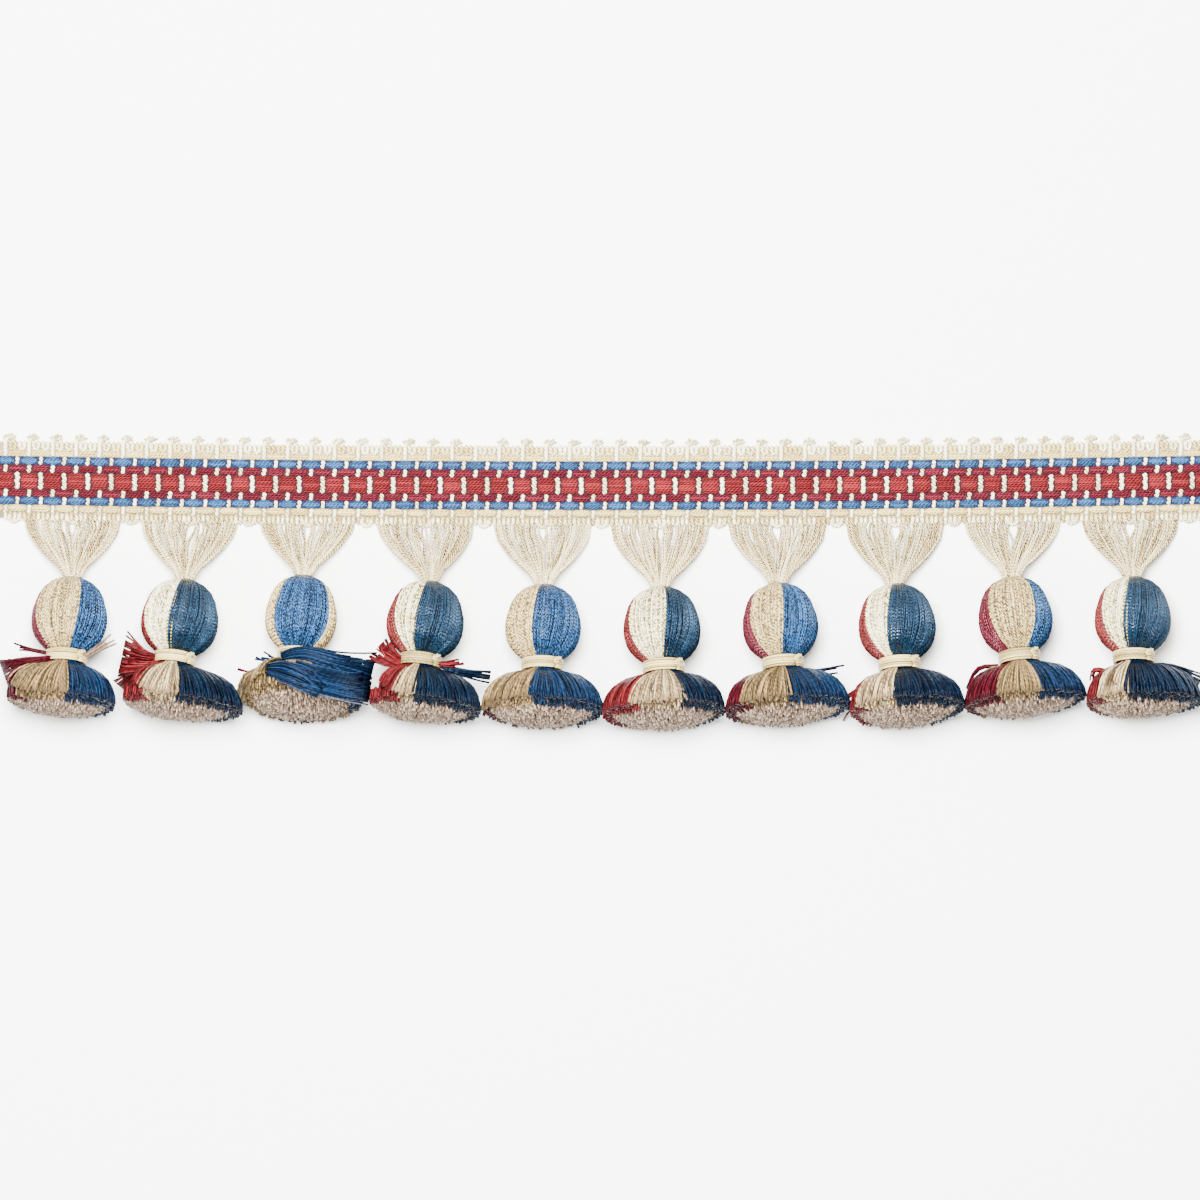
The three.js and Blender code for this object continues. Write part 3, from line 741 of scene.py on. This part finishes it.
def wound_ball(tassel, label):
    """A turned mould, wound from pole to pole with yarns laid side by side."""
    chance = random.Random(100 + label)
    threads = []
    for n in range(BALL_YARNS):
        angle = 2 * math.pi * (n + chance.uniform(-0.3, 0.3)) / BALL_YARNS
        dye = dye_at(tassel, tassel["ball_sectors"], angle)
        skew = ball_skew(tassel, angle) + math.radians(chance.uniform(-1.5, 1.5))
        lift = chance.uniform(-0.12, 0.12)
        route = []
        radii = []
        for along, share in BALL_PROFILE:
            radius = share * tassel["ball"] / 2
            crowd = min(1.0, 0.25 + share)
            turn = angle + skew * along / -BALL_START + chance.uniform(-0.004, 0.004) / max(share, 0.2)
            point = axis_point(tassel, along, radius - BALL_YARN_SUNK + lift * share, turn)
            route.append(Vector((point.x, point.y, max(point.z, BALL_YARN_LOWEST))))
            radii.append(BALL_YARN_RADIUS * crowd * chance.uniform(0.92, 1.08))
        threads.append(thread(route, radii, dye, chance.random()))
    yarns = {dye: wound_yarns[dye] for dye in tassel["dyes"]}
    piece = lay_threads(f"ball_{label}", threads, yarns, 4)
    profile = [(along, share * tassel["ball"] / 2 - MOULD_UNDER_YARN) for along, share in BALL_PROFILE]
    mould = spun_core(f"mould_{label}", tassel, profile, axis_point, wound_yarns,
                      lambda along, turn: dye_at(tassel, tassel["ball_sectors"], turn))
    for made in (piece, mould):
        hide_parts(f"head_{label}")


def spun_core(name, tassel, profile, place, yarns, dye_of):
    """A closed body spun round the axis under the yarns that lie on it, in their yarns. With no thread
    attributes it comes out in their darker shades, as painted shade where it shows between them.
    """
    rings = [row for row in profile if row[1] > 0]
    ends = (profile[0][0], profile[-1][0])
    turns = [2 * math.pi * k / SPUN_SEGMENTS for k in range(SPUN_SEGMENTS)]
    points = [place(tassel, along, radius, turn) for along, radius in rings for turn in turns]
    points += [place(tassel, along, 0.0, 0.0) for along in ends]
    near_pole = len(points) - 2
    far_pole = len(points) - 1
    last = near_pole - SPUN_SEGMENTS
    faces = []
    dyed = []
    for k, turn in enumerate(turns):
        after = (k + 1) % SPUN_SEGMENTS
        middle = turn + math.pi / SPUN_SEGMENTS
        faces += [(near_pole, after, k), (last + k, last + after, far_pole)]
        dyed += [dye_of(along, middle) for along in ends]
        for row, (lower, upper) in enumerate(zip(rings, rings[1:])):
            low = row * SPUN_SEGMENTS
            high = low + SPUN_SEGMENTS
            faces.append((low + k, low + after, high + after, high + k))
            dyed.append(dye_of((lower[0] + upper[0]) / 2, middle))
    mesh = bpy.data.meshes.new(name)
    mesh.from_pydata([Vector((p.x, p.y, max(p.z, SPUN_LOWEST))) * MM for p in points], [], faces)
    mesh.uv_layers.new(name="UVMap")
    for yarn in yarns.values():
        mesh.materials.append(yarn)
    dyes = list(yarns)
    mesh.polygons.foreach_set("material_index", [dyes.index(dye) for dye in dyed])
    mesh.update()
    piece = bpy.data.objects.new(name, mesh)
    bpy.context.scene.collection.objects.link(piece)
    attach(piece, "root")
    return piece


def wound_tie(tassel, label):
    """A few turns of cord round the neck, with a small knot and its two cut ends at the upper right."""
    chance = random.Random(200 + label)
    half = (TIE_END - TIE_START) / TIE_TURNS / 2
    threads = []
    for n in range(TIE_TURNS):
        share = (n + 0.5) / TIE_TURNS
        slant = chance.uniform(0.1, 0.3)
        turn = []
        for k in range(TIE_STEPS + 1):
            angle = KNOT_TURN + 2 * math.pi * k / TIE_STEPS
            along = mix(TIE_START, TIE_END, share) + slant * math.sin(angle)
            turn.append(axis_point(tassel, along, TIE_RADIUS + 0.2 * math.sin(math.pi * share), angle))
        threads.append(thread(turn, [half * 1.03] * len(turn), "cord", chance.uniform(0.25, 1.0)))
    # Packing rings under the turns, in the lowest shade: painted shade in the grooves between the turns
    for n in range(TIE_TURNS):
        along = mix(TIE_START + 0.3, TIE_END - 0.3, n / (TIE_TURNS - 1))
        ring = [axis_point(tassel, along, TIE_PACKING_RADIUS, 2 * math.pi * k / TIE_STEPS)
                for k in range(TIE_STEPS + 1)]
        threads.append(thread(ring, [0.34] * len(ring), "cord", 0.0))
    loop = []
    for n in range(13):
        turn = 2 * math.pi * n / 12
        loop.append(axis_point(tassel, 11.1 + 0.5 * math.cos(turn), 5.45, KNOT_TURN + 0.1 * math.sin(turn)))
    threads.append(thread(loop, [0.26] * len(loop), "cord", 0.8))
    for side in (-1, 1):
        end = [axis_point(tassel, along, radius, KNOT_TURN + side * turn) for along, radius, turn in (
            (11.3, 5.2, 0.0), (10.9, 6.0, 0.02), (10.4, 6.9, 0.05 + 0.02 * chance.random()))]
        threads.append(thread(end, [0.26, 0.27, 0.24], "cord", 0.6 + 0.3 * chance.random(), 0.6))
    piece = lay_threads(f"tied_cord_{label}", threads, {"cord": tie_cord}, 6)
    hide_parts(f"tie_{label}")


def covered_strand(tassel, angle, dye):
    """A strand under a swept lock: it hugs the core and ends at its shoulder."""
    route = []
    for along in STRAND_ALONG[:COVERED_STATIONS]:
        point = skirt_point(tassel, along, read_table(CORE_PROFILE, along) + COVERED_LIFT, angle)
        route.append(Vector((point.x, point.y, max(point.z, STRAND_RADIUS + OFF_FLOOR))))
    return thread(route, [STRAND_RADIUS] * len(route), dye, angle * COVERED_SHADES % 1)


def skirt_strand(tassel, angle, depth, chance, dye):
    """One combed-out strand, from the tie to its cut end. depth is its share of the way out to the rim."""
    kept = kept_length(tassel, angle)
    if kept < KEPT_LEAST:
        return covered_strand(tassel, angle, dye)
    length = chance.gauss(0, 0.25) - shortened(angle)
    sway = chance.gauss(0, 0.03)
    wave = chance.uniform(0.005, 0.02)
    phase = chance.uniform(0, 2 * math.pi)
    route = []
    radii = []
    for n, along in enumerate(STRAND_ALONG):
        share = n / (len(STRAND_ALONG) - 1)
        radius = mix(TOP_RADII[n], SIDE_RADII[n], math.cos(angle) ** 2)
        out = (radius + 0.5 * (LOCK_RISE_LEAST + LOCK_RISE_PER_RADIUS * radius)) * mix(1, depth, share)
        run = along * mix(1, kept, share) + share * length
        turn = angle + sway * share * share + wave * share * math.sin(phase + 7 * share)
        point = skirt_point(tassel, run, out * (1 + 0.012 * share * math.sin(phase * 2 + 9 * share)), turn)
        route.append(Vector((point.x, point.y, max(point.z, STRAND_RADIUS + OFF_FLOOR))))
        radii.append(STRAND_RADIUS * mix(0.85, 1.1, share))
    # Its end takes the yarn's cut-end colour: partly the look of a cut end and partly painted shade
    return thread(route, radii, dye, chance.random(), chance.uniform(0.5, 1.4))


def shortened(angle):
    """How much sooner a strand is cut than below: the bowl of cut ends faces a little upwards."""
    return SHORTENED_TOP * (0.5 + 0.5 * math.sin(angle)) ** 0.7


def cut_stub(tassel, angle, depth, chance):
    """The blunt end of one inner strand, of which only the last few millimetres show."""
    dye = "core"
    if depth > mix(0.96, 0.66, max(0.0, math.sin(angle)) ** 0.5) + chance.gauss(0, 0.04):
        dye = dye_at(tassel, tassel["skirt_sectors"], angle)
    end = mix(FACE_END, STRAND_ALONG[-1], depth * depth) - shortened(angle) * depth + chance.gauss(0, 0.14)
    route = []
    for back in (2.6, 1.0, 0.0):
        point = skirt_point(tassel, end - back, depth * FACE_RADIUS, angle)
        route.append(Vector((point.x, point.y, max(point.z, STUB_RADIUS + OFF_FLOOR))))
    radii = [STUB_RADIUS, STUB_RADIUS * chance.uniform(0.85, 1.15), STUB_RADIUS * 0.8]
    return thread(route, radii, dye, chance.random())


def skirt_strands(tassel, label):
    """All threads of a skirt: two layers of long strands, the cut ends in its bowl, and its loose locks."""
    chance = random.Random(300 + label)
    threads = []
    for least, most in SKIRT_LAYERS:
        for n in range(OUTER_STRANDS):
            angle = 2 * math.pi * (n + chance.uniform(-0.5, 0.5)) / OUTER_STRANDS
            dye = dye_at(tassel, tassel["skirt_sectors"], angle + chance.gauss(0, 0.03))
            threads.append(skirt_strand(tassel, angle, chance.uniform(least, most), chance, dye))
    for n in range(CUT_STUBS):
        depth = math.sqrt((n + chance.random()) / CUT_STUBS)
        angle = 2 * math.pi * n * GOLDEN_SHARE + chance.uniform(-0.05, 0.05) / max(depth, 0.05)
        threads.append(cut_stub(tassel, angle % (2 * math.pi), depth, chance))
    for row in EXTRA_LOCKS.get(label, []):
        threads += loose_lock(dict(zip(LOCK_FIELDS, row)), chance)
    return [t for t in threads if t]


def loose_lock(lock, chance):
    """Strands that leave the round of a skirt, along a route of their own and spreading as they go."""
    points = [Vector(point) for point in lock["route"]]
    spreads = lock["spread"]
    middle = smooth_route(points, 3)
    threads = []
    for _ in range(lock["count"]):
        across = chance.uniform(-1, 1)
        lift = chance.uniform(-1, 1)
        wave = chance.uniform(0.0, 0.35)
        phase = chance.uniform(0, 6)
        kept = len(middle) - chance.choice((0, 0, 1, 1, 2)) * (lock["count"] > 1)
        swing = chance.gauss(0, 0.25)
        route = []
        for k, point in enumerate(middle[:kept]):
            share = k / (len(middle) - 1)
            near = share * (len(spreads) - 1)
            low = min(int(near), len(spreads) - 2)
            spread = mix(spreads[low], spreads[low + 1], near - low)
            course = (middle[min(k + 1, len(middle) - 1)] - middle[max(k - 1, 0)]).normalized()
            aside = Vector((-course.y, course.x, 0)).normalized()
            bend = wave * share * math.sin(phase + 5 * share) + swing * spread * share * share
            made = point + aside * (across * spread + bend) + Vector((0, 0, lift * spread * lock["flat"]))
            made.z = max(made.z, STRAND_RADIUS + OFF_FLOOR)
            route.append(made)
        radii = [STRAND_RADIUS * chance.uniform(0.9, 1.1)] * len(route)
        threads.append(thread(route, radii, lock["dye"], chance.random(), 0.9))
    return threads


# Locks that the photograph shows out of the round, by tassel: yarn, how many strands, how flat the lock is,
# its half width on the way, and its middle from root to tip
LOCK_FIELDS = ("dye", "count", "flat", "spread", "route")
EXTRA_LOCKS = {
    1: [
        ("cream", 1, 0.0, (0.0, 0.1, 0.1),
         ((-134.5, -20.5, 17.6), (-134.1, -23.0, 18.2), (-134.0, -25.3, 18.0))),
        ("cream", 1, 0.0, (0.0, 0.1, 0.1),
         ((-134.2, -20.6, 17.6), (-132.6, -22.9, 18.2), (-131.5, -25.0, 18.0))),
        ("crimson", 130, 0.4, (1.0, 2.3, 3.2),
         ((-137.6, -19.4, 15.0), (-143.6, -21.2, 15.4), (-149.8, -23.4, 12.0))),
        ("crimson", 3, 0.4, (0.3, 0.5, 0.8),
         ((-138.5, -18.0, 13.0), (-143.0, -17.0, 13.5), (-147.6, -16.3, 12.5))),
        ("core", 7, 0.5, (0.5, 0.9, 1.6),
         ((-132.0, -20.5, 13.0), (-127.8, -17.5, 12.0), (-122.6, -14.2, 10.5))),
    ],
    2: [
        ("coral", 120, 0.6, (0.8, 2.8, 4.6),
         ((-110.0, -19.4, 12.8), (-115.2, -19.8, 13.4), (-120.6, -18.8, 11.0))),
        ("coral", 110, 0.5, (0.8, 2.8, 4.0),
         ((-110.0, -20.4, 12.0), (-114.8, -23.5, 12.0), (-118.6, -28.0, 9.0))),
    ],
    3: [
        ("mid blue", 130, 0.22, (2.0, 2.8, 3.4, 4.0),
         ((-80.5, -19.6, 15.8), (-75.0, -18.9, 19.0), (-67.0, -21.2, 18.8), (-58.2, -23.4, 15.5))),
        ("mid blue", 130, 0.2, (1.8, 3.3, 3.2, 2.9, 2.8),
         ((-79.0, -20.2, 17.0), (-78.2, -22.4, 26.0), (-72.0, -24.4, 27.9), (-65.0, -26.2, 24.0),
          (-58.6, -27.2, 15.5))),
        ("mid blue", 90, 0.2, (1.4, 2.7, 2.8, 1.6),
         ((-84.0, -21.8, 24.6), (-80.0, -22.3, 27.4), (-75.0, -24.1, 28.3), (-70.4, -27.1, 27.6))),
        ("mid blue", 9, 0.4, (0.3, 0.9, 1.5),
         ((-79.5, -20.4, 16.0), (-83.0, -19.4, 16.5), (-86.7, -17.9, 15.5))),
        ("crimson", 2, 0.4, (0.2, 0.3, 0.4),
         ((-85.0, -23.0, 12.5), (-88.5, -22.6, 12.0), (-91.7, -22.2, 11.0))),
        ("gold", 46, 0.5, (0.8, 2.4, 1.9),
         ((-83.0, -21.4, 14.5), (-88.2, -24.6, 12.0), (-90.0, -30.8, 5.0))),
    ],
    4: [
        ("coral", 60, 0.4, (0.8, 2.2, 3.4),
         ((-49.5, -20.8, 12.8), (-53.4, -19.0, 14.0), (-56.6, -16.2, 13.0))),
        ("coral", 8, 0.4, (0.4, 0.8, 1.0),
         ((-42.0, -20.5, 14.5), (-38.5, -20.6, 14.5), (-35.2, -20.3, 13.0))),
        ("navy", 12, 0.4, (0.3, 1.2, 1.6),
         ((-41.0, -21.0, 14.0), (-35.0, -22.4, 13.0), (-28.6, -23.4, 10.0))),
    ],
    7: [
        ("mid blue", 7, 0.4, (0.8, 1.0, 1.2),
         ((49.0, -22.3, 14.0), (54.0, -22.2, 14.5), (59.8, -21.2, 12.5))),
    ],
    8: [
        ("coral", 14, 0.4, (0.6, 1.6, 2.2),
         ((68.0, -24.0, 10.0), (62.0, -29.0, 7.0), (57.8, -32.5, 3.0))),
    ],
    9: [
        ("crimson", 7, 0.4, (0.6, 1.2, 0.9),
         ((98.2, -21.0, 14.6), (93.4, -21.9, 14.6), (90.4, -26.6, 9.5))),
        ("gold", 5, 0.4, (0.5, 1.3, 1.8),
         ((99.5, -21.2, 15.6), (95.4, -22.6, 15.8), (92.0, -28.0, 11.5))),
    ],
    10: [
        ("navy", 44, 0.4, (0.8, 1.6, 2.4),
         ((134.0, -21.2, 14.8), (141.0, -22.2, 15.2), (148.2, -25.6, 12.0))),
        ("coral", 8, 0.4, (0.5, 0.7, 0.9),
         ((125.8, -22.2, 15.0), (122.0, -21.8, 15.5), (121.0, -24.5, 13.0))),
    ],
}


def hanger_strands(tassel, number):
    """Plied strands, in two halves with a small hole between, from the heading down to the ball."""
    chance = random.Random(400 + number)
    neck = axis_point(tassel, BALL_START, 0.0, 0.0)
    hang = FIRST_TASSEL + number * TASSEL_SPACING
    upper = on_heading(hang, HEADING_LOWER_EDGE, 0).y
    length = upper - neck.y
    threads = []
    for layer, hand, n in itertools.product((-1, 1), (-1, 1), range(HANGER_STRANDS_IN_A_HALF)):
        outward = (n + (0.5 if layer < 0 else 0.0)) / (HANGER_STRANDS_IN_A_HALF - 0.5)
        place = hand * mix(0.03, 1.0, outward)
        jitter = chance.uniform(-0.075, 0.075) * (1 - place * place)
        slack = chance.gauss(0, 0.3) * (1 - place * place)
        phase = chance.uniform(0, 6)
        route = []
        for k in range(HANGER_STATIONS):
            share = k / (HANGER_STATIONS - 1)
            down = mix(-0.8, length + 0.35, share)
            rise = max(0.0, down / length)
            half = read_table(FAN, down)
            deep = read_table(HANGER_DEPTH, down)
            sag = slack * math.sin(math.pi * min(1.0, rise))
            opened = (down - length + HANGER_SLIT_LENGTH) / (HANGER_SLIT_LENGTH + 0.5)
            parted = math.sin(math.pi * min(1.0, max(0.0, opened)))
            slit = hand * HANGER_SLIT * parted * (1 - abs(place))
            x = mix(neck.x, hang, rise) + sag * 0.5
            x += (place + slit + jitter * math.sin(phase + 6 * share)) * half
            z = mix(0.95, neck.z, max(0.0, 1 - rise) ** HANGER_CURVE)
            rounding = math.sqrt(max(0.0, 1 - (0.95 * place) ** 2))
            z += layer * deep * rounding * (0.9 + 0.2 * chance.random())
            bent = on_heading(x, 0, 0).y - on_heading(hang, 0, 0).y
            y = neck.y + down + bent * min(1.0, rise) + 0.15 * sag
            route.append(Vector((x, y, max(z, HANGER_STRAND_RADIUS + OFF_FLOOR))))
        radii = [HANGER_STRAND_RADIUS * chance.uniform(0.88, 1.12) for _ in route]
        threads.append(thread(route, radii, "silk", chance.random()))
    return threads


def soft_light(name, place, size, power):
    """A square lamp that looks at the middle of the trim."""
    light = bpy.data.lights.new(name, "AREA")
    light.shape = "SQUARE"
    light.size = size
    light.energy = power
    lamp = bpy.data.objects.new(name, light)
    lamp.location = place
    lamp.rotation_euler = (-Vector(place)).to_track_quat("-Z", "Y").to_euler()
    bpy.context.scene.collection.objects.link(lamp)


def studio():
    """A plain pale floor, soft light from above and a camera that looks straight down."""
    bm = bmesh.new()
    bmesh.ops.create_grid(bm, x_segments=1, y_segments=1, size=3.0)
    bmesh.ops.translate(bm, verts=bm.verts, vec=(0, 0, -0.00005))
    mesh = bpy.data.meshes.new("floor")
    bm.to_mesh(mesh)
    bm.free()
    floor = bpy.data.objects.new("floor", mesh)
    bpy.context.scene.collection.objects.link(floor)
    # Matt white paper: keeps the surface bright and without a gleam
    paint = bpy.data.materials.new("white_paper")
    paint.use_nodes = True
    shader = paint.node_tree.nodes["Principled BSDF"]
    shader.inputs["Base Color"].default_value = linear("#FAFAF8")
    shader.inputs["Roughness"].default_value = 0.9
    shader.inputs["Specular IOR Level"].default_value = 0.1
    mesh.materials.append(paint)

    world = bpy.data.worlds.new("studio")
    world.use_nodes = True
    world.node_tree.nodes["Background"].inputs["Color"].default_value = (1, 1, 1, 1)
    world.node_tree.nodes["Background"].inputs["Strength"].default_value = 1.0
    bpy.context.scene.world = world
    soft_light("key", (-0.1, 0.3, 1.2), 0.5, 125)
    soft_light("fill", (-0.6, -0.3, 1.1), 1.2, 16)

    lens = bpy.data.cameras.new("camera")
    lens.lens = 500
    lens.sensor_width = 36
    lens.clip_end = 20
    camera = bpy.data.objects.new("camera", lens)
    half_frame = 150 * MM
    distance = half_frame / (lens.sensor_width / 2 / lens.lens)
    camera.location = (-1.215 * MM, -4.5 * MM, distance + 4 * MM)
    bpy.context.scene.collection.objects.link(camera)
    bpy.context.scene.camera = camera


def make_heading():
    """The heading's ground and all that is woven into it."""
    web = woven_web()
    floats = lay_threads("heading_floats", heading_floats(), heading_yarns, 6)
    cords = lay_threads("heading_cords", heading_cords(), heading_yarns, 6)
    tufts = lay_threads("picot_tufts", picot_tufts(), heading_yarns, 4)
    for piece in (web, floats, cords, tufts):
        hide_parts("heading")


def make_tassel(laid, number):
    """One tassel from its hanger to its cut ends. Every second one has the darker dyes."""
    label = number + 1
    dyes = ("mid blue", "gold", "crimson") if label % 2 else ("navy", "cream", "coral")
    tassel = {**USUAL_SKIRT, **UNUSUAL_SKIRTS.get(label, {}), **laid, "dyes": dyes}
    wound_ball(tassel, label)
    wound_tie(tassel, label)
    skirt = lay_threads(f"cut_ends_{label}", skirt_strands(tassel, label), cut_yarns, 4)
    core = spun_core(
        f"skirt_core_{label}", tassel, CORE_PROFILE, skirt_point, cut_yarns, lambda along, turn: (
            "core" if along > FACE_START else dye_at(tassel, tassel["skirt_sectors"], turn)))
    for piece in (skirt, core):
        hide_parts(f"skirt_{label}")
    hanger = lay_threads(f"hanger_strands_{label}", hanger_strands(tassel, number), {"silk": skein_silk}, 4)
    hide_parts(f"hanger_{label}")


studio()
make_heading()
for number, laid in enumerate(TASSELS):
    make_tassel(laid, number)
